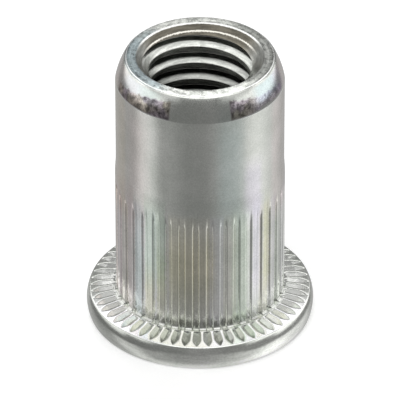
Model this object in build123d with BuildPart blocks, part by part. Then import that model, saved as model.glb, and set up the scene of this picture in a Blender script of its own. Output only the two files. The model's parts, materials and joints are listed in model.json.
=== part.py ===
from build123d import *

import os
from math import cos, pi, radians, tan

# Open-end rivet nut, M8 x 1.25, flat head, splined body, serrated under the head.
# It is one piece of steel: cold headed, drilled, pressed, tapped and zinc plated.
#
# Frame, in millimetres: the head's outer face lies on z = 0, centred on the
# origin, and +Z runs along the axis to the open, threaded end. -Y is the front.

# The thread's size sets every diameter: the body stands a wall outside it, the
# head an overhang outside the body, and the crush zone a clearance outside it.
thread_radius = 4.0
thread_pitch = 1.25
thread_flank_angle = 30
thread_depth_share = 5 / 8  # of the sharp thread's height
thread_zone = 9.7  # from the open end to the start of the crush zone

# Body: the part that goes through the sheet
body_wall = 1.5  # outside the thread's major radius
length = 19.5
land_rise = 0.06  # the splines' lands stand this proud of the plain body
swell_length = 1.4  # over which the body swells to the lands
foot_chamfer = 0.16  # at the foot of the lands, against the head

# Head
head_overhang = 2.0  # outside the body's radius
head_thickness = 1.65
rim_wall_height = 0.85  # up to here the rim is upright, above it it curves in
rim_crown = 0.2  # how far it curves in
rim_edge_radius = 0.12

# Shoulder: the crowned taper at the open end
shoulder_height = 1.7
shoulder_inset = 0.58
shoulder_crown = 0.07
edge_bevel = 0.12

# Mouth of the thread, countersunk at the open end. The bore is at the thread's
# minor radius; the helical grooves themselves are left off this model.
mouth_clearance = 0.15  # the countersink's mouth outside the thread's major radius
countersink_half_angle = 45

# Crush zone: the wider bore that folds when the nut is set
crush_clearance = 0.45  # outside the thread's major radius
drill_half_angle = 59
entry_chamfer = 0.3

# Splines: axial grooves pressed into the crush zone's wall
spline_count = 38
spline_length = 8.95
spline_width = 0.44
spline_floor_width = 0.32
spline_depth = 0.11
spline_run_out = 0.28
spline_phase = -83.4

# Serrations: V cuts pressed into the underside of the head
serration_count = 57
serration_ridge = 0.1  # width left between two cuts
serration_half_angle = 62
serration_margin = 0.05  # flat kept inside the cuts' inner tips
serration_border = 0.06  # flat kept outside their outer tips
serration_run_in = 0.14
serration_run_out = 0.3
serration_phase = -91.9

# What follows from them
body_radius = thread_radius + body_wall
head_radius = body_radius + head_overhang
rim_top_radius = head_radius - rim_crown
land_radius = body_radius + land_rise
spline_top = head_thickness + spline_length
shoulder_base = length - shoulder_height
shoulder_radius = body_radius - shoulder_inset
sharp_height = thread_pitch * cos(radians(thread_flank_angle))
minor_radius = thread_radius - thread_depth_share * sharp_height
mouth_radius = thread_radius + mouth_clearance
countersink_depth = (mouth_radius - minor_radius) / tan(radians(countersink_half_angle))
crush_radius = thread_radius + crush_clearance
thread_start = length - thread_zone
drill_cone = (crush_radius - minor_radius) / tan(radians(drill_half_angle))

serration_inner = land_radius + foot_chamfer + serration_margin
serration_outer = rim_top_radius - rim_edge_radius - serration_border
serration_full_from = serration_inner + serration_run_in
serration_full_to = serration_outer - serration_run_out


def cut_half_width(radius):
    """Half the width of a serration where it meets the head's underside."""
    ridge_share = serration_ridge / serration_full_from
    return radius * (pi / serration_count - ridge_share / 2)


def cut_depth(radius):
    """Depth of a serration's bottom line below the head's underside."""
    return cut_half_width(radius) / tan(radians(serration_half_angle))


# One serration: a V whose flanks are planes through the axis, pointed at both
# ends. It reaches as far above the underside as below, so it leaves no skin.
with BuildPart() as serration:
    sections = []
    for radius in (serration_full_from, serration_full_to):
        reach = cut_depth(radius)
        with BuildSketch(Plane.YZ.offset(radius)) as vee:
            with BuildLine():
                Polyline(
                    (0, head_thickness - reach),
                    (2 * cut_half_width(radius), head_thickness + reach),
                    (-2 * cut_half_width(radius), head_thickness + reach),
                    close=True,
                )
            make_face()
        sections.append(vee.sketch)
    first_point = Vertex(
        serration_full_from - 2 * serration_run_in,
        0,
        head_thickness + cut_depth(serration_full_from),
    )
    last_point = Vertex(
        serration_full_to + 2 * serration_run_out,
        0,
        head_thickness + cut_depth(serration_full_to),
    )
    loft([first_point, *sections, last_point], ruled=True)

# One spline groove: a shallow trapezoid along the body that runs out to a point
with BuildPart() as spline:
    sections = []
    groove_ends = (head_thickness, spline_top - spline_run_out)
    flare = (spline_width - spline_floor_width) / 2 / spline_depth
    outside = foot_chamfer + land_rise
    for height in groove_ends:
        with BuildSketch(Plane.XY.offset(height)) as groove:
            with BuildLine():
                Polyline(
                    (land_radius - spline_depth, -spline_floor_width / 2),
                    (land_radius - spline_depth, spline_floor_width / 2),
                    (land_radius + outside, spline_width / 2 + flare * outside),
                    (land_radius + outside, -spline_width / 2 - flare * outside),
                    close=True,
                )
            make_face()
        sections.append(groove.sketch)
    rise = spline_run_out * (outside + spline_depth) / spline_depth
    point = Vertex(land_radius + outside, 0, groove_ends[1] + rise)
    loft([*sections, point], ruled=True)

with BuildPart() as rivet_nut:
    with BuildSketch(Plane.XZ) as profile:
        with BuildLine() as outline:
            head_face = Line((crush_radius + entry_chamfer, 0), (head_radius, 0))
            rim_wall = Line(head_face @ 1, (head_radius, rim_wall_height))
            rim = TangentArc(
                rim_wall @ 1,
                (rim_top_radius, head_thickness),
                tangent=rim_wall % 1,
            )
            lands = Polyline(
                rim @ 1,
                (land_radius + foot_chamfer, head_thickness),
                (land_radius, head_thickness + foot_chamfer),
                (land_radius, spline_top),
            )
            swell = Spline(
                lands @ 1,
                (body_radius, spline_top + swell_length),
                tangents=[(0, 1), (0, 1)],
            )
            plain_body = Line(swell @ 1, (body_radius, shoulder_base))
            shoulder = SagittaArc(
                plain_body @ 1,
                (shoulder_radius, length - edge_bevel),
                -shoulder_crown,
            )
            end_and_bore = Polyline(
                shoulder @ 1,
                (shoulder_radius - edge_bevel, length),
                (mouth_radius, length),
                (minor_radius, length - countersink_depth),
                (minor_radius, thread_start),
                (crush_radius, thread_start - drill_cone),
                (crush_radius, entry_chamfer),
                (crush_radius + entry_chamfer, 0),
            )
        make_face()
        rim_edges = profile.vertices().filter_by(
            lambda corner: corner.X > rim_top_radius - rim_edge_radius
            and abs(corner.Y - rim_wall_height) > rim_edge_radius
        )
        fillet(rim_edges, radius=rim_edge_radius)
    revolve(axis=Axis.Z)
    with PolarLocations(0, spline_count, start_angle=spline_phase):
        add(spline.part, mode=Mode.SUBTRACT)
    with PolarLocations(0, serration_count, start_angle=serration_phase):
        add(serration.part, mode=Mode.SUBTRACT)

rivet_nut.part.label = "rivet_nut"
os.makedirs("parts", exist_ok=True)
export_step(rivet_nut.part, "parts/rivet_nut.step")
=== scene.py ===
"""The looks of an open-end rivet nut, M8 x 1.25, zinc plated.

The nut is one piece of steel, so one detailed piece stands for the whole part.
A blank is modelled as a nineteenth of its round, with two splines and three
serrations, and repeated. A tap then cuts the thread in it. Lengths are in
millimetres until they reach Blender, and the axis is Z with -Y as the front.
"""

import json
import logging
from dataclasses import dataclass, field
from enum import Enum
from math import atan2, cos, degrees, hypot, pi, radians, sin, tan
from typing import Any, Callable, Sequence

import bmesh
import bpy
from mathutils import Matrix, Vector


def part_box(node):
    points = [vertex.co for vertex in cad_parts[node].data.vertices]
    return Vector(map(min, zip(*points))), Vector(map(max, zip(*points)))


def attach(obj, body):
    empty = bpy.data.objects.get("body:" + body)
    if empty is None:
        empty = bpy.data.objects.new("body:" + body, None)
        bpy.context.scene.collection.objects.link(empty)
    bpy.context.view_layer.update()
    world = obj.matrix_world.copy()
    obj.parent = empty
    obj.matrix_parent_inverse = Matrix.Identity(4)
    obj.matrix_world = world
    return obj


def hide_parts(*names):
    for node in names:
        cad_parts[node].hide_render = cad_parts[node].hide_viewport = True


MM = 0.001  # a millimetre in metres
NEAR = 0.001  # in millimetres: vertices nearer than this are one
AT_PLACE = 0.004  # in millimetres: how near a vertex lies to the place it is at
IN_COLUMN = 0.2  # in columns: how near a vertex lies to the column it is in
NODE = "rivet_nut"
SLOT = "zinc_plated_steel"
log = logging.getLogger("rivet_nut")

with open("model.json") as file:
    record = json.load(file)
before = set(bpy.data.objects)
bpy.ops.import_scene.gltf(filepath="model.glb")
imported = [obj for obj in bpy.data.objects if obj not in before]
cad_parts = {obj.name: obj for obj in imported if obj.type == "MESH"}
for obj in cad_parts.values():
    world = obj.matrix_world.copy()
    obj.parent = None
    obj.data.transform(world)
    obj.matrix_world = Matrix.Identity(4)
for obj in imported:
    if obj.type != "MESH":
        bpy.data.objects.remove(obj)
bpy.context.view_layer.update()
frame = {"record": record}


# Modelling bench -------------------------------------------------------------


@dataclass(frozen=True)
class Corner:
    """A corner of a section, with its rounding.

    Args:
        r: Distance from the axis.
        z: Height.
        rounding: Radius of the arc that rounds the corner, 0 for none.
        steps: Straight steps that the arc is drawn with.
    """

    r: float
    z: float
    rounding: float = 0.0
    steps: int = 3


def rounded(corners: Sequence[Corner], closed: bool = True) -> list[tuple[float, float]]:
    """Draw a section through its corners, with an arc at each rounded one.

    Args:
        corners: The corners in order.
        closed: Whether the last corner joins the first.

    Returns:
        The points of the section as (r, z) pairs.
    """
    points: list[tuple[float, float]] = []
    last = len(corners) - 1
    for index, corner in enumerate(corners):
        here = Vector((corner.r, corner.z))
        at_end = not closed and index in (0, last)
        if corner.rounding == 0.0 or at_end:
            points.append((corner.r, corner.z))
            continue
        before = corners[index - 1]
        after = corners[(index + 1) % len(corners)]
        back = (Vector((before.r, before.z)) - here).normalized()
        ahead = (Vector((after.r, after.z)) - here).normalized()
        half = back.angle(ahead) / 2
        centre = here + (back + ahead).normalized() * corner.rounding / sin(half)
        start = here + back * corner.rounding / tan(half) - centre
        turn = start.angle_signed(here + ahead * corner.rounding / tan(half) - centre)
        for step in range(corner.steps + 1):
            angle = -turn * step / corner.steps
            x = start.x * cos(angle) - start.y * sin(angle)
            y = start.x * sin(angle) + start.y * cos(angle)
            points.append((centre.x + x, centre.y + y))
    return points


class Bench:
    """Edit-mode modelling of one object, whose parts are selected by place."""

    def __init__(self, name: str) -> None:
        """Start an object from a small plane, drawn together to one vertex.

        Args:
            name: The object's name.
        """
        bpy.ops.object.select_all(action="DESELECT")
        bpy.ops.mesh.primitive_plane_add(size=MM)
        self.object: bpy.types.Object = bpy.context.object
        self.object.name = name
        self.object.data.name = name
        bpy.ops.object.mode_set(mode="EDIT")
        bpy.ops.mesh.select_mode(type="VERT")
        bpy.ops.mesh.select_all(action="SELECT")
        bpy.ops.mesh.merge(type="CENTER")

    def draw(self, points: Sequence[tuple[float, float]], azimuth: float) -> None:
        """Draw a section by extruding the selected vertex from point to point.

        Args:
            points: The section as (r, z) pairs.
            azimuth: The azimuth of the section's plane, in degrees.
        """
        turn = radians(azimuth)
        here = Vector((0.0, 0.0, 0.0))
        for index, (r, z) in enumerate(points):
            there = Vector((r * cos(turn), r * sin(turn), z)) * MM
            if index == 0:
                bpy.ops.transform.translate(value=there - here)
            else:
                bpy.ops.mesh.extrude_vertices_move(
                    TRANSFORM_OT_translate={"value": there - here}
                )
            here = there

    def select(self, chosen: Callable[[float, float, float], bool]) -> int:
        """Select the vertices that a test on their place chooses.

        Args:
            chosen: A test on radius, azimuth in degrees and height.

        Returns:
            How many vertices are selected.
        """
        mesh = bmesh.from_edit_mesh(self.object.data)
        count = 0
        for vertex in mesh.verts:
            x, y, z = vertex.co / MM
            vertex.select = chosen(hypot(x, y), degrees(atan2(y, x)), z)
            count += vertex.select
        mesh.select_flush_mode()
        bmesh.update_edit_mesh(self.object.data)
        return count

    def lower(self, distance: float) -> None:
        """Move what is selected down by a distance."""
        bpy.ops.transform.translate(value=(0.0, 0.0, -distance * MM))

    def draw_in(self, share: float) -> None:
        """Scale what is selected towards the axis to a share of its radius."""
        bpy.ops.transform.resize(
            value=(share, share, 1.0), center_override=(0.0, 0.0, 0.0)
        )

    def spin(self, steps: int, angle: float, copies: bool = False) -> None:
        """Spin everything about the axis, as a surface or as copies.

        Args:
            steps: Number of steps, or of copies.
            angle: The whole angle, in degrees.
            copies: Whether copies are made and not a surface.
        """
        bpy.ops.mesh.select_all(action="SELECT")
        bpy.ops.mesh.spin(
            steps=steps,
            angle=radians(angle),
            center=(0.0, 0.0, 0.0),
            axis=(0.0, 0.0, 1.0),
            dupli=copies,
        )
        self.weld()

    def trim(self, height: float, above: bool) -> None:
        """Cut everything off flat at a height and close the cut.

        Args:
            height: Height of the cut.
            above: Whether what lies above the cut goes, or what lies below.
        """
        bpy.ops.mesh.select_all(action="SELECT")
        bpy.ops.mesh.bisect(
            plane_co=(0.0, 0.0, height * MM),
            plane_no=(0.0, 0.0, 1.0),
            use_fill=True,
            clear_outer=above,
            clear_inner=not above,
            threshold=NEAR * MM,
        )

    def weld(self) -> None:
        """Merge doubled vertices."""
        bpy.ops.mesh.select_all(action="SELECT")
        bpy.ops.mesh.remove_doubles(threshold=NEAR * MM)

    def finish(self) -> bpy.types.Object:
        """Weld the mesh, turn its faces outwards and leave edit mode."""
        self.weld()
        bpy.ops.mesh.normals_make_consistent(inside=False)
        bpy.ops.object.mode_set(mode="OBJECT")
        return self.object

    def modify(self, kind: str, **settings: Any) -> None:
        """Add a modifier and apply it.

        Args:
            kind: The modifier's type.
            **settings: Its settings.
        """
        bpy.ops.object.mode_set(mode="OBJECT")
        modifier = self.object.modifiers.new(kind.lower(), kind)
        for name, value in settings.items():
            setattr(modifier, name, value)
        bpy.ops.object.modifier_apply(modifier=modifier.name)
        bpy.ops.object.mode_set(mode="EDIT")


# Rivet nut -------------------------------------------------------------------


def mount(name: str) -> dict[str, Any]:
    """Return one of the record's mounts by its name."""
    mounts = frame["record"]["mounts"]
    return next(entry for entry in mounts if entry["name"] == name)


def evenly(start: float, end: float, steps: int, with_end: bool = False) -> list[float]:
    """Return evenly spaced values from a start up to an end, which may be left out."""
    return [start + (end - start) * k / steps for k in range(steps + with_end)]


@dataclass
class Serrations:
    """V cuts pressed into the underside of the head, pointed at both ends.

    Args:
        count: How many there are.
        ridge: Width left between two cuts where they are full.
        half_angle: Half the angle of the V, in degrees.
        inner: Radius of the inner point.
        full_from: Radius from which a cut is full.
        full_to: Radius up to which it is full.
        outer: Radius of the outer point.
        taper: Power of the curve that the sides follow to the outer point.
        rows: Rows of vertices over the run-in and over the full length.
        run_out_rows: Rows of vertices over the run-out.
    """

    count: int = 57
    ridge: float = 0.08
    half_angle: float = 62.0
    inner: float = 5.74
    full_from: float = 5.8
    full_to: float = 6.55
    outer: float = 7.22
    taper: float = 1.5
    rows: int = 3
    run_out_rows: int = 9

    def rings(self) -> list[float]:
        """Return the radii at which the head's underside has a row of vertices."""
        run_in = evenly(self.inner, self.full_from, self.rows)
        full = evenly(self.full_from, self.full_to, self.rows)
        return run_in + full + evenly(self.full_to, self.outer, self.run_out_rows, with_end=True)

    def depth(self, radius: float, offset: float) -> float:
        """Return how deep a cut lies below the head's underside.

        Args:
            radius: Distance from the axis.
            offset: Angle from the cut's middle, in degrees.

        Returns:
            The depth, 0 outside the cut.
        """
        ridge_share = self.ridge / self.full_from
        half_width = radius * (pi / self.count - ridge_share / 2)
        if radius < self.full_from:
            half_width *= (radius - self.inner) / (self.full_from - self.inner)
        if radius > self.full_to:
            share = (radius - self.full_to) / (self.outer - self.full_to)
            half_width *= 1.0 - share**self.taper
        aside = abs(radius * radians(offset))
        return max(0.0, half_width - aside) / tan(radians(self.half_angle))


@dataclass
class Splines:
    """Shallow grooves pressed along the body, with flat lands between them.

    Args:
        count: How many there are.
        width: Width of a groove at the lands.
        floor_width: Width of its floor.
        deep: Its full depth.
        run_out: Length over which it runs out at the top.
    """

    count: int = 38
    width: float = 0.44
    floor_width: float = 0.32
    deep: float = 0.11
    run_out: float = 1.3

    def share(self, radius: float, offset: float) -> float:
        """Return how much of its full depth a groove has beside its middle.

        Args:
            radius: Radius of the lands.
            offset: Angle from the groove's middle, in degrees.

        Returns:
            1 on the floor, 0 on the lands.
        """
        aside = abs(radius * radians(offset))
        wall = (self.width - self.floor_width) / 2
        return min(1.0, max(0.0, (self.width / 2 - aside) / wall))


@dataclass
class Thread:
    """The thread, as the tap that cuts it.

    Args:
        major: Radius of the roots.
        minor: Radius of the crests, from the frame.
        pitch: Height between two turns.
        crest: Width of a crest.
        crest_rounding: Rounding of a crest's edges.
        knee_radius: Radius at which a flank steepens.
        knee_rise: Height of that knee over the crest's edge.
        knee_rounding: Rounding of the knee.
        root_rounding: Rounding of a root's edges.
        crest_below: Depth of a crest's middle under the open end.
        steps: Steps in a turn.
        turns: Turns below that crest.
        low_end: Depth of the tap's lower end under the open end.
        overrun: How far the tap stands out of the nut.
        start_azimuth: Where its section is drawn, at the back.
    """

    major: float = 4.0
    minor: float = field(init=False)
    pitch: float = 1.25
    crest: float = 0.3
    crest_rounding: float = 0.1
    knee_radius: float = 3.66
    knee_rise: float = 0.28
    knee_rounding: float = 0.26
    root_rounding: float = 0.06
    crest_below: float = 1.5
    steps: int = 120
    turns: int = 11
    low_end: float = 11.9
    overrun: float = 1.0
    start_azimuth: float = 90.0

    def section(self) -> list[tuple[float, float]]:
        """Return one pitch of the tap's outline, from crest to crest of the nut."""
        crest = self.crest / 2
        knee = crest + self.knee_rise
        root = self.pitch * 7 / 16  # a flat root is an eighth of the pitch wide
        corners = [
            Corner(self.minor, 0.0),
            Corner(self.minor, crest, self.crest_rounding, 3),
            Corner(self.knee_radius, knee, self.knee_rounding, 3),
            Corner(self.major, root, self.root_rounding, 2),
            Corner(self.major, self.pitch - root, self.root_rounding, 2),
            Corner(self.knee_radius, self.pitch - knee, self.knee_rounding, 3),
            Corner(self.minor, self.pitch - crest, self.crest_rounding, 3),
            Corner(self.minor, self.pitch),
        ]
        return rounded(corners, closed=False)

    def tap(self, mouth: float) -> bpy.types.Object:
        """Model the tap: its section wound into a screw and cut off flat.

        Args:
            mouth: Height of the nut's open end.

        Returns:
            The tap, closed and standing where it cuts.
        """
        bench = Bench("tap")
        start = mouth - self.crest_below - self.pitch * self.turns
        section = [(r, z + start) for r, z in self.section()]
        bench.draw(section, self.start_azimuth)
        bench.modify(
            "SCREW",
            axis="Z",
            angle=2 * pi,
            screw_offset=self.pitch * MM,
            iterations=self.turns + 2,
            steps=self.steps,
            render_steps=self.steps,
        )
        bench.weld()
        bench.trim(mouth + self.overrun, above=True)
        bench.trim(mouth - self.low_end, above=False)
        return bench.finish()


@dataclass
class RivetNut:
    """The whole nut: blank, splines, serrations and thread.

    Args:
        serrations: The cuts under the head.
        splines: The grooves of the body.
        thread: The thread and its tap.
        sectors: How many times the sector on the bench is repeated.
        columns: Columns of faces in a sector.
        groove_azimuth: Azimuth of the first spline, in degrees.
        serration_shift: Columns from the first spline to the first serration.
        foot: Fillet of the body on the head.
        dish: How far the head's underside rises towards the body.
        land_rise: How far the lands stand proud of the plain body.
        spline_top: Height where the splines end.
        swell_top: Height where the body is down to its plain radius.
        rows: Rows of vertices over the run-out, and over the swell.
        shoulder_row: Depth of a plain row of vertices under the shoulder.
        shoulder_height: Height of the shoulder.
        shoulder_inset: How far it draws the body in.
        shoulder_crown: How far it bulges.
        crown_steps: Steps of that bulge.
        end_bevel: Bevel between the shoulder and the end face.
        mouth_radius: Radius of the countersink at the end face.
        pilot_radius: Radius of the bore that the tap cuts out.
        crush_end: Height where the crush bore's wall ends.
        rim_crown: How far the rim curves in at its upper edge.
        rim_wall: Height of its widest point.
        rim_tuck: How far it is drawn in at its lower edge.
        rim_edge: Rounding of both edges.
        drill_angle: Half the angle of the drill's point, in degrees.
        entry: Chamfer of the crush bore.
        entry_rounding: Rounding of that chamfer's foot.
        bore_rounding: Rounding at both ends of the crush bore.
        shoulder_rounding: Rounding at the shoulder's foot.
        bevel_rounding: Rounding between the shoulder and the bevel.
        end_rounding: Rounding between the bevel and the end face.
        mouth_rounding: Rounding of the mouth.
        smooth_angle: Faces that meet at less are shaded smooth, in degrees.
    """

    serrations: Serrations = field(default_factory=Serrations)
    splines: Splines = field(default_factory=Splines)
    thread: Thread = field(default_factory=Thread)
    sectors: int = 19
    columns: int = 36
    groove_azimuth: float = -83.4
    serration_shift: int = -16
    foot: float = 0.2
    dish: float = 0.25
    land_rise: float = 0.06
    spline_top: float = 10.6
    swell_top: float = 12.0
    rows: int = 6
    shoulder_row: float = 1.2
    shoulder_height: float = 1.7
    shoulder_inset: float = 0.58
    shoulder_crown: float = 0.07
    crown_steps: int = 8
    end_bevel: float = 0.12
    mouth_radius: float = 4.15
    pilot_radius: float = 2.9
    crush_end: float = 9.123
    rim_crown: float = 0.2
    rim_wall: float = 0.85
    rim_tuck: float = 0.16
    rim_edge: float = 0.1
    drill_angle: float = 59.0
    entry: float = 0.3
    entry_rounding: float = 0.05
    bore_rounding: float = 0.1
    shoulder_rounding: float = 0.1
    bevel_rounding: float = 0.04
    end_rounding: float = 0.03
    mouth_rounding: float = 0.05
    smooth_angle: float = 38.0

    def __post_init__(self) -> None:
        """Take the overall sizes from the frame."""
        low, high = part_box(NODE)
        self.length = high.z / MM
        self.head_radius = (high.x - low.x) / 2 / MM
        self.head_thickness = mount("under_head")["pos_m"][2] / MM
        self.body_radius = mount("shank")["dims"]["r_mm"]
        self.crush_radius = mount("crush_bore")["dims"]["r_mm"]
        self.thread.minor = mount("thread")["dims"]["r_mm"]
        self.land = self.body_radius + self.land_rise
        self.ring_edge = self.head_radius - self.rim_crown
        self.step = 360.0 / self.sectors / self.columns

    def section(self) -> list[tuple[float, float]]:
        """Return the closed section of the blank, from the bore's foot outwards."""
        foot = Corner(self.crush_radius + self.entry, 0.0, self.entry_rounding, 2)
        return rounded([foot, *self.rim(), *self.wall(), *self.shoulder(), *self.bore()])

    def wall(self) -> list[Corner]:
        """Return the corners of the head's underside and of the wall over it."""
        land = self.land
        corners = [Corner(r, self.seat(r)) for r in reversed(self.serrations.rings())]
        corners += [
            Corner(land, self.seat(land), self.foot, 5),
            Corner(land, self.seat(land) + 2 * self.foot),
        ]
        run_out = self.splines.run_out
        for k in range(self.rows + 1):
            corners.append(Corner(land, self.spline_top - run_out * (1 - k / self.rows)))
        swell = self.swell_top - self.spline_top
        for k in range(1, self.rows + 1):
            share = (1 + cos(pi * k / self.rows)) / 2
            r = self.body_radius + self.land_rise * share
            corners.append(Corner(r, self.spline_top + swell * k / self.rows))
        return corners

    def shoulder(self) -> list[Corner]:
        """Return the corners of the plain body's top, the crowned shoulder and the bevel."""
        base = self.length - self.shoulder_height
        top = self.body_radius - self.shoulder_inset
        bevel = self.length - self.end_bevel
        corners = [
            Corner(self.body_radius, base - self.shoulder_row),
            Corner(self.body_radius, base, self.shoulder_rounding, 2),
        ]
        foot = Vector((self.body_radius, base))
        end = Vector((top, bevel))
        out = Vector((end.y - foot.y, foot.x - end.x)).normalized()
        for k in range(1, self.crown_steps):
            share = k / self.crown_steps
            bulge = 4 * self.shoulder_crown * share * (1 - share)
            place = foot.lerp(end, share) + out * bulge
            corners.append(Corner(place.x, place.y))
        corners += [
            Corner(top, bevel, self.bevel_rounding, 2),
            Corner(top - self.end_bevel, self.length, self.end_rounding, 2),
        ]
        return corners

    def bore(self) -> list[Corner]:
        """Return the corners of the countersink, the pilot bore and the crush bore."""
        cone = self.mouth_radius - self.pilot_radius
        drill = (self.crush_radius - self.pilot_radius) / tan(radians(self.drill_angle))
        return [
            Corner(self.mouth_radius, self.length, self.mouth_rounding, 2),
            Corner(self.pilot_radius, self.length - cone),
            Corner(self.pilot_radius, self.crush_end + drill),
            Corner(self.crush_radius, self.crush_end, self.bore_rounding, 2),
            Corner(self.crush_radius, self.entry, self.bore_rounding, 2),
        ]

    def seat(self, radius: float) -> float:
        """Return the height of the head's underside, which is dished a little."""
        share = (self.ring_edge - radius) / (self.ring_edge - self.land)
        return self.head_thickness + self.dish * share

    def rim(self) -> list[Corner]:
        """Return the corners of the head's rim, from below upwards.

        The rim is nearly upright up to its widest point and curves in above it.
        """
        rise = self.head_thickness - self.rim_wall
        lower_steps, upper_steps = 4, 7
        corners = [Corner(self.head_radius - self.rim_tuck, 0.0, self.rim_edge, 3)]
        for k in range(1, lower_steps):
            share = 1.0 - k / lower_steps
            r = self.head_radius - self.rim_tuck * share**2
            corners.append(Corner(r, self.rim_wall * k / lower_steps))
        for k in range(upper_steps + 1):
            share = k / upper_steps
            edge = self.rim_edge if k == upper_steps else 0.0
            r = self.head_radius - self.rim_crown * share**2
            corners.append(Corner(r, self.rim_wall + rise * share, edge, 3))
        return corners

    def blank(self) -> Bench:
        """Model the blank: one sector shaped in full, then copied round."""
        bench = Bench(f"{NODE}_plated")
        section = self.section()
        bench.draw(section + section[:1], self.groove_azimuth)
        bench.spin(self.columns, self.columns * self.step)
        self.press_serrations(bench)
        self.press_splines(bench)
        bench.spin(self.sectors - 1, 360.0 * (self.sectors - 1) / self.sectors, copies=True)
        return bench

    def offset(self, azimuth: float, shift: int, count: int) -> float:
        """Return how far an azimuth lies from the nearest of a ring of cuts.

        Args:
            azimuth: The azimuth, in degrees.
            shift: Columns from the first spline to the first cut.
            count: How many cuts the ring has.

        Returns:
            The distance from the middle of the nearest cut, in columns.
        """
        period = self.sectors * self.columns / count
        columns = (azimuth - self.groove_azimuth) / self.step - shift
        return abs((columns + period / 2) % period - period / 2)

    def select_column(
        self, bench: Bench, place: tuple[float, float], column: int, count: int, shift: int = 0
    ) -> None:
        """Select the vertices of one column beside each of a ring of cuts.

        Args:
            bench: The bench with the sector on it.
            place: The point of the section that they lie at, as (r, z).
            column: Columns from the middle of a cut, to both sides.
            count: How many cuts the ring has.
            shift: Columns from the first spline to the first cut.
        """
        at_r, at_z = place
        bench.select(
            lambda r, azimuth, z: abs(r - at_r) < AT_PLACE
            and abs(z - at_z) < AT_PLACE
            and abs(self.offset(azimuth, shift, count) - column) < IN_COLUMN
        )

    def press_serrations(self, bench: Bench) -> None:
        """Press the serrations into the sector that is on the bench."""
        count = self.serrations.count
        half = self.sectors * self.columns // count // 2
        for ring in self.serrations.rings():
            for column in range(half + 1):
                depth = self.serrations.depth(ring, column * self.step)
                if depth > 0.0:
                    place = (ring, self.seat(ring))
                    self.select_column(bench, place, column, count, self.serration_shift)
                    bench.lower(depth)

    def press_splines(self, bench: Bench) -> None:
        """Press the spline grooves into the sector that is on the bench."""
        count = self.splines.count
        half = self.sectors * self.columns // count // 2
        places = sorted({place for place in self.section() if self.in_groove(*place)})
        for r, z in places:
            left = min(1.0, max(0.0, (self.spline_top - z) / self.splines.run_out))
            for column in range(half + 1):
                share = self.splines.share(self.land, column * self.step)
                share *= (1 - cos(pi * left)) / 2
                if share > 0.0:
                    self.select_column(bench, (r, z), column, count)
                    bench.draw_in((self.land - self.splines.deep * share) / r)
        self.flatten_lands(bench, [place for place in places if place[1] < self.spline_top])

    def flatten_lands(self, bench: Bench, places: Sequence[tuple[float, float]]) -> None:
        """Draw in the middle of each land so that it is flat across.

        Args:
            bench: The bench with the sector on it.
            places: The points of the section that lie on the lands.
        """
        count = self.splines.count
        middle = self.sectors * self.columns // count // 2
        edge = next(k for k in range(middle) if not self.splines.share(self.land, k * self.step))
        flat = cos(radians((middle - edge) * self.step))
        for place in places:
            for column in range(edge + 1, middle + 1):
                self.select_column(bench, place, column, count)
                bench.draw_in(flat / cos(radians((middle - column) * self.step)))

    def in_groove(self, r: float, z: float) -> bool:
        """Tell whether a point of the section lies where the grooves run."""
        on_body = self.land - NEAR < r < self.land + self.foot + NEAR
        return on_body and self.head_thickness - NEAR < z < self.spline_top - NEAR

    def build(self, material: bpy.types.Material) -> bpy.types.Object:
        """Build the nut, attach it to the root body and hide the imported part.

        Args:
            material: The plated finish.

        Returns:
            The finished piece.
        """
        tap = self.thread.tap(self.length)
        bench = self.blank()
        nut = bench.finish()
        bench.modify("BOOLEAN", operation="DIFFERENCE", object=tap, solver="MANIFOLD")
        bench.finish()
        bpy.data.objects.remove(tap)
        bpy.ops.object.shade_smooth_by_angle(angle=radians(self.smooth_angle))
        nut.data.materials.clear()
        nut.data.materials.append(material)
        nut.data.polygons.foreach_set("material_index", [0] * len(nut.data.polygons))
        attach(nut, "root")
        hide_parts(NODE)
        log.info("%s: %d faces", nut.name, len(nut.data.polygons))
        return nut


# Node graphs -----------------------------------------------------------------


class Number:
    """A number in a node graph, on which operators add Math nodes."""

    def __init__(self, graph: "Graph", socket: Any) -> None:
        """Wrap an output socket of a graph."""
        self.graph = graph
        self.socket = socket

    def math(self, operation: str, *others: Any) -> "Number":
        """Add a Math node with this number as its first value."""
        values = {index + 1: other for index, other in enumerate(others)}
        node = self.graph.node("ShaderNodeMath", {"operation": operation}, {0: self, **values})
        return Number(self.graph, node.outputs[0])

    def __add__(self, other: Any) -> "Number":
        """Return self + other."""
        return self.math("ADD", other)

    __radd__ = __add__

    def __mul__(self, other: Any) -> "Number":
        """Return self * other."""
        return self.math("MULTIPLY", other)

    __rmul__ = __mul__

    def __sub__(self, other: Any) -> "Number":
        """Return self - other."""
        return self.math("SUBTRACT", other)

    def __rsub__(self, other: Any) -> "Number":
        """Return other - self."""
        return self * -1.0 + other

    def __truediv__(self, other: Any) -> "Number":
        """Return self / other."""
        return self.math("DIVIDE", other)

    def __pow__(self, other: Any) -> "Number":
        """Return self ** other."""
        return self.math("POWER", other)

    def __abs__(self) -> "Number":
        """Return abs(self)."""
        return self.math("ABSOLUTE")

    def rise(self, low: float, high: float) -> "Number":
        """Return 0 below low, 1 above high and a smooth step between them."""
        node = self.graph.node(
            "ShaderNodeMapRange",
            {"interpolation_type": "SMOOTHSTEP"},
            {"Value": self, "From Min": low, "From Max": high},
        )
        return Number(self.graph, node.outputs[0])

    def band(self, low: float, high: float, soft: float) -> "Number":
        """Return 1 between low and high and 0 outside, with soft edges."""
        return self.rise(low - soft, low + soft) * (1.0 - self.rise(high - soft, high + soft))


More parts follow.
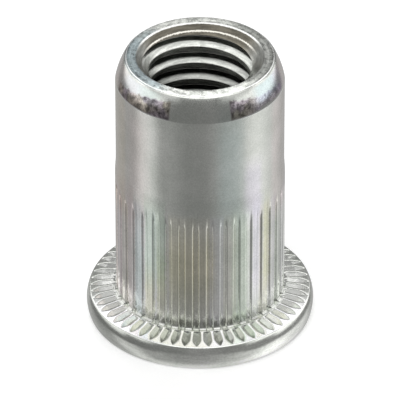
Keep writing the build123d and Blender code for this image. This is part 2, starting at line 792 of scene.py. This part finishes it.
class Graph:
    """The nodes of one material or world."""

    def __init__(self, tree: bpy.types.NodeTree) -> None:
        """Start from an empty tree."""
        self.tree = tree
        tree.nodes.clear()

    def node(self, kind: str, settings: dict[str, Any], inputs: dict[Any, Any]) -> Any:
        """Add a node.

        Args:
            kind: The node's type.
            settings: Its settings, which are set first.
            inputs: Values or links of its sockets, by name or number.

        Returns:
            The node.
        """
        node = self.tree.nodes.new(kind)
        for name, value in settings.items():
            setattr(node, name, value)
        for name, value in inputs.items():
            source = getattr(value, "socket", value)
            if isinstance(source, bpy.types.NodeSocket):
                self.tree.links.new(source, node.inputs[name])
            else:
                node.inputs[name].default_value = value
        return node

    def place(self) -> tuple[Any, Number, Number, Number]:
        """Return the object coordinates: the vector and x, y and z in metres."""
        coordinates = self.node("ShaderNodeTexCoord", {}, {})
        vector = coordinates.outputs["Object"]
        parts = self.node("ShaderNodeSeparateXYZ", {}, {0: vector})
        return (vector, *(Number(self, parts.outputs[axis]) for axis in range(3)))

    def vector(self, x: Any, y: Any, z: Any) -> Any:
        """Return a vector socket made from three numbers."""
        return self.node("ShaderNodeCombineXYZ", {}, {0: x, 1: y, 2: z}).outputs[0]

    def noise(self, vector: Any, scale: float, detail: float, rough: float) -> Number:
        """Return a noise texture's value, from 0 to 1."""
        node = self.node(
            "ShaderNodeTexNoise",
            {},
            {"Vector": vector, "Scale": scale, "Detail": detail, "Roughness": rough},
        )
        return Number(self, node.outputs[0])

    def streaks(self, x: Any, y: Any, detail: float, rough: float) -> Number:
        """Return a noise over two numbers, drawn out along the one that grows slower."""
        return self.noise(self.vector(x, y, 0.0), 1.0, detail, rough)

    def surface(self, kind: str, inputs: dict[str, Any], output: str = "Material") -> None:
        """Add a shader and link it to the output.

        Args:
            kind: The shader's type.
            inputs: Values or links of its sockets.
            output: What the tree belongs to, Material or World.
        """
        shader = self.node(f"ShaderNode{kind}", {}, inputs)
        self.node(f"ShaderNodeOutput{output}", {}, {"Surface": shader.outputs[0]})

    def seen(self) -> Number:
        """Return 1 for what the camera, the metal and glass see, 0 for other light."""
        path = self.node("ShaderNodeLightPath", {}, {})
        rays = [path.outputs[f"Is {kind} Ray"] for kind in ("Camera", "Glossy", "Transmission")]
        camera, glossy, through = (Number(self, ray) for ray in rays)
        return (camera + glossy + through).math("MINIMUM", 1.0)

    def mix(self, factor: Any, first: Any, second: Any) -> Any:
        """Return a colour socket between two colours."""
        inputs = {"Factor": factor, 6: first, 7: second}
        return self.node("ShaderNodeMix", {"data_type": "RGBA"}, inputs).outputs[2]

    def tinted(self, colour: Any, factor: Any, tint: Any) -> Any:
        """Return a colour multiplied by a tint, or by a grey, where a factor is 1."""
        if isinstance(tint, float):
            tint = (tint, tint, tint, 1.0)
        settings = {"data_type": "RGBA", "blend_type": "MULTIPLY"}
        inputs = {"Factor": factor, 6: colour, 7: tint}
        return self.node("ShaderNodeMix", settings, inputs).outputs[2]


def new_material(name: str) -> tuple[bpy.types.Material, Graph]:
    """Return a new material and its empty graph."""
    material = bpy.data.materials.new(name)
    material.use_nodes = True
    return material, Graph(material.node_tree)


def azimuth_of(x: Number, y: Number) -> Number:
    """Return the angle from the front in degrees, positive to the right."""
    return x.math("ARCTAN2", y * -1.0) * degrees(1)


Colour = tuple[float, float, float, float]


def grey(level: float) -> Colour:
    """Return a neutral colour."""
    return (level, level, level, 1.0)


Tint = tuple[float, float, float]

OLIVE: Tint = (1.05, 1.00, 0.86)
BROWN: Tint = (1.08, 0.98, 0.90)
PINK: Tint = (1.08, 0.98, 1.00)
PURPLE: Tint = (1.10, 0.95, 1.10)
LAVENDER: Tint = (1.03, 0.98, 1.12)
SKY: Tint = (0.88, 1.01, 1.08)
ICE: Tint = (0.99, 0.99, 1.08)
CYAN: Tint = (0.93, 1.02, 1.04)
GREEN: Tint = (0.95, 1.02, 0.95)
MOSS: Tint = (0.90, 1.03, 0.94)
YELLOW: Tint = (1.02, 1.01, 0.84)


@dataclass(frozen=True)
class Stain:
    """A soft patch of colour in the film over the zinc.

    Args:
        azimuth: From and to, in degrees from the front, positive to the right.
        height: From and to, in millimetres.
        tint: What the zinc's colour is multiplied by.
        soft: Half the width of the soft edges, in degrees and millimetres.
    """

    azimuth: tuple[float, float]
    height: tuple[float, float]
    tint: Tint
    soft: tuple[float, float] = (4.0, 1.0)


STAINS = (
    # the plain body, from left to right
    Stain((-90, -62), (9, 18), BROWN),
    Stain((-60, -40), (9, 18), PINK, (8, 2)),
    Stain((12, 30), (10, 18), CYAN, (6, 2)),
    Stain((32, 46), (10, 14), LAVENDER),
    Stain((58, 85), (9, 18), PINK),
    # the splined body
    Stain((-90, -52), (1, 11), PINK, (3, 1.5)),
    Stain((-51, -43), (1, 10.5), CYAN, (1, 2)),
    Stain((-41, -24), (5, 11), MOSS, (1, 1.5)),
    Stain((-41, -33), (2, 5.5), YELLOW, (1, 1.5)),
    Stain((-31, -24), (3, 7), YELLOW, (1, 2)),
    Stain((-22, 10), (4.5, 9), OLIVE, (3, 2)),
    Stain((22, 34), (1, 10.5), GREEN, (2, 1.5)),
    Stain((38, 46), (4, 10.5), LAVENDER, (1, 1.5)),
    Stain((48, 56), (4, 10.5), YELLOW, (1, 1.5)),
    # the pale upper part of the shoulder
    Stain((-100, -70), (18, 19.5), PINK, (8, 0.2)),
    Stain((-70, -48), (18.3, 19.5), ICE, (6, 0.2)),
    Stain((-50, -32), (18.5, 19.5), CYAN, (6, 0.2)),
    Stain((44, 68), (18.3, 19.5), SKY, (5, 0.2)),
    Stain((66, 80), (18, 19.5), LAVENDER, (5, 0.2)),
    Stain((76, 100), (18, 19.5), PINK, (5, 0.2)),
)


# radii over which one surface of the nut gives way to the next, in millimetres
BORE_SIDE = (4.1, 4.2)
WALL_SIDE = (4.9, 5.0)
RIM_SIDE = (7.22, 7.32)

# colours of painted light and shade: a highlight on edges, light on the serrations aside, a white
# reflection on their margin, shade in their cuts, shade on the brown countersink and a highlight
# along the thread's first edge; the two after them are tints of the film
EDGE_HIGHLIGHT: Colour = (0.96, 0.965, 0.95, 1.0)
PAINTED_SIDE_LIGHT: Colour = (0.93, 0.92, 0.93, 1.0)
MARGIN_REFLECTION: Colour = (0.93, 0.92, 0.955, 1.0)
CUT_SHADE: Colour = (0.80, 0.81, 0.80, 1.0)
BROWN_SHADE: Colour = (0.33, 0.30, 0.26, 1.0)
CREST_HIGHLIGHT: Colour = (0.85, 0.83, 0.76, 1.0)
COLD: Colour = (0.89, 1.03, 1.13, 1.0)
VIOLET: Colour = (1.02, 0.97, 1.22, 1.0)


@dataclass(frozen=True)
class Spot:
    """A spot on the nut as its finish sees it: where it is, and the noises there.

    Args:
        graph: The graph of the finish.
        vector: Its object coordinates.
        azimuth: Its angle from the front in degrees, positive to the right.
        radius: Its distance from the axis, in millimetres.
        height: Its height, in millimetres.
        fine: The finest noise.
        medium: A coarser noise.
        outside: 1 on the wall and the shoulder, 0 elsewhere.
        bore: 1 in the bore.
        end_face: 1 on the end face.
    """

    graph: Graph
    vector: Any
    azimuth: Number
    radius: Number
    height: Number
    fine: Number
    medium: Number
    outside: Number
    bore: Number
    end_face: Number


@dataclass(frozen=True)
class ZincPlating:
    """Bright zinc plating under a thin iridescent film.

    Args:
        length: Height of the nut's open end, in millimetres.
        shoulder: Height where the shoulder starts.
        head: Height of the head's underside.
        mouth: Radius of the countersunk mouth.
        spline_top: Height where the splines end.
        lands: How many lands lie between the splines.
        first_groove: Azimuth of a groove, in degrees from the front.
        ring_edge: Outer radius of the ring of serrations.
        ring_slope: How steeply that ring rises inwards.
        dark: The zinc's colour where it is dullest.
        light: The zinc's colour where it is brightest.
        roughness: Of the body.
        grain: Strength of the fine bumps.
        grain_height: Their height, in metres.
        film: Strength of the film's stains.
        land_film: Strength of the tint that each land has of its own.
    """

    length: float
    shoulder: float
    head: float
    mouth: float
    spline_top: float
    lands: int
    first_groove: float
    ring_edge: float
    ring_slope: float
    dark: Colour = (0.585, 0.605, 0.565, 1.0)
    light: Colour = (0.69, 0.70, 0.665, 1.0)
    roughness: float = 0.15
    grain: float = 0.35
    grain_height: float = 0.00001
    film: float = 0.8
    land_film: float = 0.3

    def material(self) -> bpy.types.Material:
        """Make the material, layer by layer: the zinc's own colours, then painted light and shade."""
        material, graph = new_material(SLOT)
        at = self.spot(graph)
        colour = self.bare(at)
        for layer in (
            self.stained,
            self.film_on_lands,
            self.painted_shoulder_shade,
            self.mottled_end_painted_light,
            self.bore_painted_shade,
            self.countersink,
            self.rim,
            self.pressed_ring,
            self.painted_edge_highlights,
        ):
            colour = layer(at, colour)
        bumps = at.fine + at.medium * (0.6 + at.end_face * 2.4)
        inputs = {"Height": bumps, "Strength": self.grain, "Distance": self.grain_height}
        bump = graph.node("ShaderNodeBump", {}, inputs)
        roughness = self.roughness + at.medium * 0.06 + at.end_face * 0.1 + at.bore * 0.11
        graph.surface(
            "BsdfPrincipled",
            {
                "Base Color": colour,
                "Metallic": 1.0,
                "Roughness": roughness,
                "Normal": bump.outputs[0],
            },
        )
        return material

    def spot(self, graph: Graph) -> Spot:
        """Return the spot that the finish is worked out for."""
        vector, x, y, z = graph.place()
        height = z * (1 / MM)
        radius = (x * x + y * y) ** 0.5 * (1 / MM)
        bore = 1.0 - radius.rise(*BORE_SIDE)
        above_head = height.rise(self.head + 0.2, self.head + 0.6)
        at_end = height.rise(self.length - 0.1, self.length - 0.04)
        return Spot(
            graph=graph,
            vector=vector,
            azimuth=azimuth_of(x, y),
            radius=radius,
            height=height,
            fine=graph.noise(vector, 8000.0, 3.0, 0.65),
            medium=graph.noise(vector, 2600.0, 3.0, 0.6),
            outside=radius.rise(*WALL_SIDE) * above_head,
            bore=bore,
            end_face=at_end * (1.0 - bore),
        )

    def bare(self, at: Spot) -> Any:
        """Return the zinc's own colour, clouded, grained and drawn along the wall."""
        cloud = at.graph.noise(at.vector, 450.0, 3.0, 0.6)
        colour = at.graph.mix(cloud.rise(0.3, 0.7), self.dark, self.light)
        colour = at.graph.tinted(colour, 1.0, at.fine * 0.44 + 0.78)
        drawn = at.graph.streaks(at.azimuth * 0.7, at.height * 0.12, 3.0, 0.6)
        splined = 1.0 - at.height.rise(self.spline_top - 0.5, self.spline_top + 0.5)
        where = at.outside * (splined * 0.8 + 0.2)
        return at.graph.tinted(colour, where, drawn * 0.36 + 0.82)

    def stained(self, at: Spot, colour: Any) -> Any:
        """Lay the stains over a colour, with slightly uneven edges.

        Args:
            at: The spot on the nut.
            colour: The colour so far.

        Returns:
            The colour with the stains on it.
        """
        turn = at.azimuth + (at.medium - 0.5) * 4.0
        level = at.height + (at.medium - 0.5) * 0.5
        for stain in STAINS:
            mask = turn.band(*stain.azimuth, stain.soft[0]) * level.band(*stain.height, stain.soft[1])
            colour = at.graph.tinted(colour, mask * at.outside * self.film, (*stain.tint, 1.0))
        return colour

    def film_on_lands(self, at: Spot, colour: Any) -> Any:
        """Give each land a slight tint of its own.

        Args:
            at: The spot on the nut.
            colour: The colour so far.

        Returns:
            The colour with the tints on it.
        """
        number = (at.azimuth - self.first_groove) * (self.lands / 360.0)
        chance = at.graph.node(
            "ShaderNodeTexWhiteNoise", {"noise_dimensions": "1D"}, {"W": number.math("FLOOR")}
        )
        picked = Number(at.graph, chance.outputs["Value"])
        tint = at.graph.mix(picked.rise(0.0, 0.5), (*OLIVE, 1.0), (*LAVENDER, 1.0))
        tint = at.graph.mix(picked.rise(0.5, 1.0), tint, (*GREEN, 1.0))
        splined = at.height.band(self.head, self.spline_top, 0.3) * at.outside
        return at.graph.tinted(colour, splined * self.land_film, tint)

    def painted_shoulder_shade(self, at: Spot, colour: Any) -> Any:
        """Paint mottled shade, tinted purple and brown, on the lower half of the shoulder at both
        sides of the front, as painted dark reflections.

        Args:
            at: The spot on the nut.
            colour: The colour so far.

        Returns:
            The colour with the painted shade on the shoulder.
        """
        rough = at.graph.noise(at.vector, 2400.0, 4.0, 0.65)
        hue = at.graph.noise(at.vector, 900.0, 2.0, 0.5)
        turn = abs(at.azimuth) + (rough - 0.5) * 2.0
        right = at.azimuth.rise(28.0, 50.0)
        level = at.height + (rough - 0.5) * 0.5 - self.shoulder
        below_top = 1.0 - (level + (turn - 22.0) * 0.012).rise(1.15, 1.35)
        over_base = at.height.rise(self.shoulder, self.shoulder + 0.04)
        over_base = (level - right * 0.2).rise(-0.1, 0.1) * over_base
        mask = turn.band(21.5, 74.0, 1.0) * below_top * over_base * at.outside
        tint = at.graph.mix(hue.rise(0.4, 0.6), (*PURPLE, 1.0), (*BROWN, 1.0))
        tint = at.graph.mix(right * 0.6, tint, VIOLET)
        colour = at.graph.tinted(colour, mask, tint)
        # painted shade, darkest at the inner end of each patch, lighter outwards and at the right
        shade = rough.rise(0.3, 0.75) * 0.85 + 0.02 + (abs(at.azimuth) - 20.0) * 0.006 + right * 0.2
        return at.graph.tinted(colour, mask, shade)

    def mottled_end_painted_light(self, at: Spot, colour: Any) -> Any:
        """Mottle the end face, with painted shade at both sides and painted light in front.

        Args:
            at: The spot on the nut.
            colour: The colour so far.

        Returns:
            The colour with the end face mottled and its painted light and shade.
        """
        rough = at.graph.noise(at.vector, 2600.0, 4.0, 0.65)
        hue = at.graph.noise(at.vector, 700.0, 2.0, 0.5)
        turn = at.azimuth + (hue - 0.5) * 40.0
        # where shade is painted, at both sides; the cold tint goes there too
        painted_shade = turn.band(-125.0, -40.0, 18.0) + turn.band(48.0, 150.0, 18.0)
        tint = at.graph.mix(at.azimuth.rise(-40.0, 40.0), COLD, grey(1.0))
        colour = at.graph.tinted(colour, at.end_face * painted_shade, tint)
        turned = at.graph.streaks(at.radius * 8.0, at.azimuth * 0.012, 3.0, 0.6)
        front = 1.0 - abs(at.azimuth).rise(25.0, 65.0)
        shade = rough.rise(0.32, 0.68) * 0.5 + turned.rise(0.3, 0.7) * 0.35 + 0.17
        specks = at.graph.noise(at.vector, 7000.0, 2.0, 0.6).rise(0.55, 0.7) * 0.3
        # painted shade at both sides and painted light in front
        shade = (shade + specks) * (1.0 - painted_shade * 0.45 + front * 0.55)
        return at.graph.tinted(colour, at.end_face, shade)

    def bore_painted_shade(self, at: Spot, colour: Any) -> Any:
        """Streak the bore along the thread and paint shade into it, darker downwards and into the
        roots.

        Args:
            at: The spot on the nut.
            colour: The colour so far.

        Returns:
            The colour with the bore streaked and its painted shade.
        """
        streak = at.graph.streaks(at.azimuth * 0.06, at.height * 9.0, 4.0, 0.65)
        specks = at.graph.noise(at.vector, 7000.0, 2.0, 0.6)
        shade = streak.rise(0.35, 0.65) * 0.35 + specks * 0.25 + 0.47
        # painted shade: darker deeper in the bore
        shade = shade * (at.height.rise(self.length - 4.5, self.length - 1.2) * 0.5 + 0.5)
        # painted shade: darker towards the thread's roots
        shade = shade * (1.2 - at.radius.rise(3.36, 3.72) * 0.55)
        return at.graph.tinted(colour, at.bore, shade)

    def countersink(self, at: Spot, colour: Any) -> Any:
        """Paint the countersink at the back brown with painted shade, under a painted highlight: a
        bright line along the thread.

        Args:
            at: The spot on the nut.
            colour: The colour so far.

        Returns:
            The colour with the countersink's painted shade and highlight.
        """
        off_cone = abs(at.height - at.radius - (self.length - self.mouth))
        cone = 1.0 - off_cone.rise(0.03, 0.07)
        cone = cone * at.radius.band(3.3, self.mouth - 0.04, 0.03)
        cone = cone * abs(at.azimuth).rise(90.0, 130.0)
        # painted shade on the brown countersink, at the back only
        colour = at.graph.tinted(colour, cone, BROWN_SHADE)
        # painted highlight: a bright line along the thread's first edge
        highlight_line = (at.radius + (at.fine - 0.5) * 0.12).band(3.71, 3.78, 0.02) * cone
        return at.graph.mix(highlight_line * 0.75, colour, CREST_HIGHLIGHT)

    def rim(self, at: Spot, colour: Any) -> Any:
        """Mark the rim in long streaks and paint light on it: brighter downwards, darker left of the
        front and at the right.

        Args:
            at: The spot on the nut.
            colour: The colour so far.

        Returns:
            The colour with the rim marked and its painted light.
        """
        rim = at.radius.rise(*RIM_SIDE)
        marks = at.graph.streaks(at.azimuth * 0.05, at.height * 2.5, 4.0, 0.7)
        colour = at.graph.tinted(colour, rim, 0.99)
        # painted light: the rim brightened, most at its foot, less left of the front and at the right
        lit = 1.55 - at.height.rise(0.0, 1.1) * 0.3
        lit = lit * (1.0 - at.azimuth.band(-75.0, -20.0, 15.0) * 0.28)
        lit = lit * (1.0 - at.azimuth.rise(62.0, 85.0) * 0.25)
        return at.graph.tinted(colour, rim, lit * (marks * 0.8 + 0.6))

    def pressed_ring(self, at: Spot, colour: Any) -> Any:
        """Paint shade into the serrations in front and light into those aside, shade at the body's
        foot and a painted white reflection on their margin in front.

        Args:
            at: The spot on the nut.
            colour: The colour so far.

        Returns:
            The colour with the painted light and shade on the ring under the head.
        """
        turn = abs(at.azimuth)
        seat = (self.ring_edge - at.radius) * self.ring_slope + self.head
        cut = (seat - at.height).rise(0.0, 0.025)
        above = at.height.rise(self.head - 0.5, self.head - 0.4)
        where = at.radius.band(5.6, self.ring_edge, 0.02) * above
        where = where * (1.0 - (at.height - seat).rise(0.05, 0.15))
        # painted shade in the cuts in front
        painted_shade = where * cut * (1.0 - turn.rise(25.0, 60.0))
        colour = at.graph.tinted(colour, painted_shade, CUT_SHADE)
        # painted light in the cuts at the sides
        painted_light_aside = where * cut * turn.rise(25.0, 60.0)
        colour = at.graph.mix(painted_light_aside * 0.25, colour, PAINTED_SIDE_LIGHT)
        # painted shade at the foot of the body, where it meets the head
        foot = 1.0 - at.radius.rise(5.75, 5.85)
        colour = at.graph.tinted(colour, where * foot, 0.8)
        # painted reflection: the margin between the cuts turns nearly white in front
        margin_painted_reflection = where * (1.0 - cut) * (1.0 - turn.rise(50.0, 90.0)) * (1.0 - foot)
        return at.graph.mix(margin_painted_reflection * 0.85, colour, MARGIN_REFLECTION)

    def painted_edge_highlights(self, at: Spot, colour: Any) -> Any:
        """Paint highlights along the edges of the end face and the shoulder.

        Args:
            at: The spot on the nut.
            colour: The colour so far.

        Returns:
            The colour with the painted highlights on the edges.
        """
        turn = abs(at.azimuth)
        level = at.height + (at.fine - 0.5) * 0.08
        reach = at.radius + (at.fine - 0.5) * 0.06
        at_end = at.height.rise(self.length - 0.16, self.length - 0.1)
        outer = reach.band(4.77, 4.84, 0.02) * at_end
        sides = turn.band(45.0, 112.0, 12.0)
        inner = reach.band(4.08, 4.18, 0.02) * at_end * (1.0 - sides)
        base = level.band(self.shoulder - 0.02, self.shoulder + 0.07, 0.02)
        base = base * turn.band(24.0, 80.0, 8.0) * at.radius.rise(*WALL_SIDE)
        # painted highlights: bright lines on the end face's outer and inner edges, the inner one not
        # at the sides, and on the shoulder's foot beside the front
        return at.graph.mix((outer + inner + base) * 0.7, colour, EDGE_HIGHLIGHT)


# Studio ----------------------------------------------------------------------


class Side(Enum):
    """Which side of the front a panel stands on."""

    BOTH = 0
    RIGHT = 1
    LEFT = -1


@dataclass(frozen=True)
class Panel:
    """A soft-edged panel of the light tent, by the directions that it fills.

    Args:
        azimuth: From and to, in degrees from the front, 180 at the back.
        elevation: From and to, in degrees.
        soft: Half the width of the soft edges, in azimuth and elevation.
        level: Its brightness, where 1 is white.
        side: Which side of the front it stands on.
    """

    azimuth: tuple[float, float]
    elevation: tuple[float, float]
    soft: tuple[float, float]
    level: float
    side: Side = Side.BOTH


FLOOR = (-91, -14)  # the elevations that the floor fills

PANELS = (
    # the floor: brighter at the sides, most of all at the right
    Panel((30, 200), FLOOR, (16, 5), 0.42, Side.LEFT),
    Panel((88, 200), FLOOR, (10, 5), 0.46, Side.LEFT),
    Panel((62, 93), FLOOR, (10, 5), 0.86, Side.LEFT),
    Panel((24, 200), FLOOR, (22, 5), 0.55, Side.RIGHT),
    Panel((56, 132), FLOOR, (16, 5), 0.78, Side.RIGHT),
    Panel((68, 102), FLOOR, (12, 5), 1.08, Side.RIGHT),
    Panel((150, 200), FLOOR, (16, 5), 0.47),
    Panel((-1, 200), (-91, -58), (1, 7), 0.62),
    # the dark horizon at the sides, the pale panels over it
    Panel((42, 140), (-22, -7), (2, 3), 0.25),
    Panel((42, 76), (-22, 2), (2, 3), 0.25),
    Panel((76, 136), (-6, 18), (4, 3), 1.4),
    Panel((48, 136), (6, 18), (6, 4), 1.4),
    # the front: dull, with a bright window over it
    Panel((-1, 44), (-16, 28), (2, 6), 0.24),
    Panel((90, 165), (24, 48), (6, 4), 1.9),
    Panel((-1, 30), (32, 48), (6, 4), 1.9),
    Panel((30, 90), (20, 44), (6, 4), 0.85),
    Panel((-1, 100), (44, 76), (8, 4), 1.8),
    # overhead and behind
    Panel((-1, 200), (76, 91), (1, 4), 0.7),
    Panel((160, 200), (2, 50), (8, 4), 0.3),
    Panel((145, 176), (39, 62), (5, 3), 1.8),
    Panel((175, 200), (24, 46), (3, 4), 2.0),
)


def for_reflections_only(piece: bpy.types.Object) -> None:
    """Hide a piece from all but the reflections in the metal."""
    for ray in ("camera", "diffuse", "shadow", "transmission", "volume_scatter"):
        setattr(piece, f"visible_{ray}", False)


@dataclass
class Studio:
    """Floor, lamps, world and the light tent that the metal reflects.

    Args:
        floor_size: Length of the floor's sides, in metres.
        floor_depth: How far the floor lies under the nut, in millimetres.
        floor_glow: How much the floor adds to its own shade where it is seen.
        shade_radius: Radius of the dark disc under the bore, in millimetres.
        shade_depth: How far that disc lies under the nut, in millimetres.
        tent_radius: Radius of the tent, in metres.
        tent_grey: Shade of the tent between its panels.
        ambient: Strength of the ambient light.
    """

    floor_size: float = 4.0
    floor_depth: float = 0.02
    floor_glow: float = 0.3
    shade_radius: float = 4.7
    shade_depth: float = 0.01
    tent_radius: float = 0.6
    tent_grey: float = 0.3
    ambient: float = 0.55

    def build(self) -> None:
        """Set up the studio."""
        self.floor()
        self.shade_under_bore()
        self.tent()
        self.world()
        self.lamp("key_lamp", place=(-0.1, -0.25, 0.6), size=0.5, watts=1.6)
        self.lamp("fill_lamp", place=(0.1, 0.45, 0.5), size=0.5, watts=1.2)

    def lamp(self, name: str, place: tuple[float, float, float], size: float, watts: float) -> None:
        """Add a large soft lamp that points at the nut.

        Args:
            name: The lamp's name.
            place: Its place, in metres.
            size: The length of its sides, in metres.
            watts: Its power.
        """
        bpy.ops.object.light_add(type="AREA", location=place)
        lamp = bpy.context.object
        lamp.name = name
        lamp.data.size = size
        lamp.data.energy = watts
        lamp.rotation_euler = Vector(place).to_track_quat("Z", "Y").to_euler()
        lamp.visible_glossy = False

    def floor(self) -> None:
        """Lay a plain white floor that keeps the nut's shadow."""
        bpy.ops.mesh.primitive_plane_add(
            size=self.floor_size, location=(0, 0, -self.floor_depth * MM)
        )
        floor = bpy.context.object
        floor.name = "floor"
        material, graph = new_material("floor")
        graph.surface(
            "BsdfPrincipled",
            {
                "Base Color": grey(0.85),
                "Roughness": 0.9,
                "Specular IOR Level": 0.0,
                "Emission Color": graph.mix(graph.seen(), grey(0.0), grey(self.floor_glow)),
                "Emission Strength": 1.0,
            },
        )
        floor.data.materials.append(material)
        floor.visible_glossy = False

    def shade_under_bore(self) -> None:
        """Lay a dark disc under the bore, which only the metal's reflections see."""
        bpy.ops.mesh.primitive_circle_add(
            vertices=64,
            radius=self.shade_radius * MM,
            fill_type="NGON",
            location=(0.0, 0.0, -self.shade_depth * MM),
        )
        disc = bpy.context.object
        disc.name = "dark_under_bore"
        for_reflections_only(disc)
        material, graph = new_material("dark")
        graph.surface("Emission", {"Color": grey(0.02), "Strength": 1.0})
        disc.data.materials.append(material)

    def tent(self) -> None:
        """Hang a round tent whose panels only the metal's reflections see."""
        bpy.ops.mesh.primitive_uv_sphere_add(segments=64, ring_count=32, radius=self.tent_radius)
        tent = bpy.context.object
        tent.name = "light_tent"
        for_reflections_only(tent)
        material, graph = new_material("light_tent")
        _, x, y, z = graph.place()
        azimuth = azimuth_of(x, y)
        elevation = (z / self.tent_radius).math("ARCSINE") * degrees(1)
        colour: Any = grey(self.tent_grey)
        for panel in PANELS:
            turn = abs(azimuth) if panel.side is Side.BOTH else azimuth * panel.side.value
            mask = turn.band(*panel.azimuth, panel.soft[0])
            mask = mask * elevation.band(*panel.elevation, panel.soft[1])
            colour = graph.mix(mask, colour, grey(panel.level))
        graph.surface("Emission", {"Color": colour, "Strength": 1.0})
        tent.data.materials.append(material)

    def world(self) -> None:
        """Make the background white and the ambient light soft."""
        world = bpy.data.worlds.new("studio")
        world.use_nodes = True
        graph = Graph(world.node_tree)
        strength = graph.seen() * (1.0 - self.ambient) + self.ambient
        graph.surface("Background", {"Color": grey(1.0), "Strength": strength}, output="World")
        bpy.context.scene.world = world


@dataclass
class Viewpoint:
    """The camera, looking down on the nut from in front.

    Args:
        distance: From the point that it looks at, in millimetres.
        elevation: How steeply it looks down, in degrees.
        aim: Height of the point that it looks at, in millimetres.
        lens: Focal length, in millimetres.
        sensor: Width of the sensor, in millimetres.
        nearest: What is nearer isn't seen, in metres.
        farthest: What is farther isn't seen, in metres.
    """

    distance: float = 400.0
    elevation: float = 33.5
    aim: float = 8.36
    lens: float = 549.0
    sensor: float = 36.0
    nearest: float = 0.001
    farthest: float = 10.0

    def build(self) -> None:
        """Create the camera and make it the scene's."""
        tilt = radians(self.elevation)
        place = Vector((0.0, -cos(tilt), sin(tilt))) * self.distance * MM
        place.z += self.aim * MM
        bpy.ops.object.camera_add(location=place, rotation=(pi / 2 - tilt, 0.0, 0.0))
        camera = bpy.context.object
        camera.name = "camera"
        camera.data.lens = self.lens
        camera.data.sensor_width = self.sensor
        camera.data.clip_start = self.nearest
        camera.data.clip_end = self.farthest
        bpy.context.scene.camera = camera


def main() -> None:
    """Build the nut, the studio and the camera; the nut logs its face count."""
    logging.basicConfig(level=logging.INFO, format="%(name)s: %(message)s")
    bpy.context.scene.view_settings.view_transform = "Standard"
    nut = RivetNut()
    plating = ZincPlating(
        length=nut.length,
        shoulder=nut.length - nut.shoulder_height,
        head=nut.head_thickness,
        mouth=nut.mouth_radius,
        spline_top=nut.spline_top,
        lands=nut.splines.count,
        first_groove=nut.groove_azimuth + 90.0,
        ring_edge=nut.ring_edge,
        ring_slope=nut.dish / (nut.ring_edge - nut.land),
    )
    nut.build(plating.material())
    Studio().build()
    Viewpoint().build()


if __name__ == "__main__":
    main()
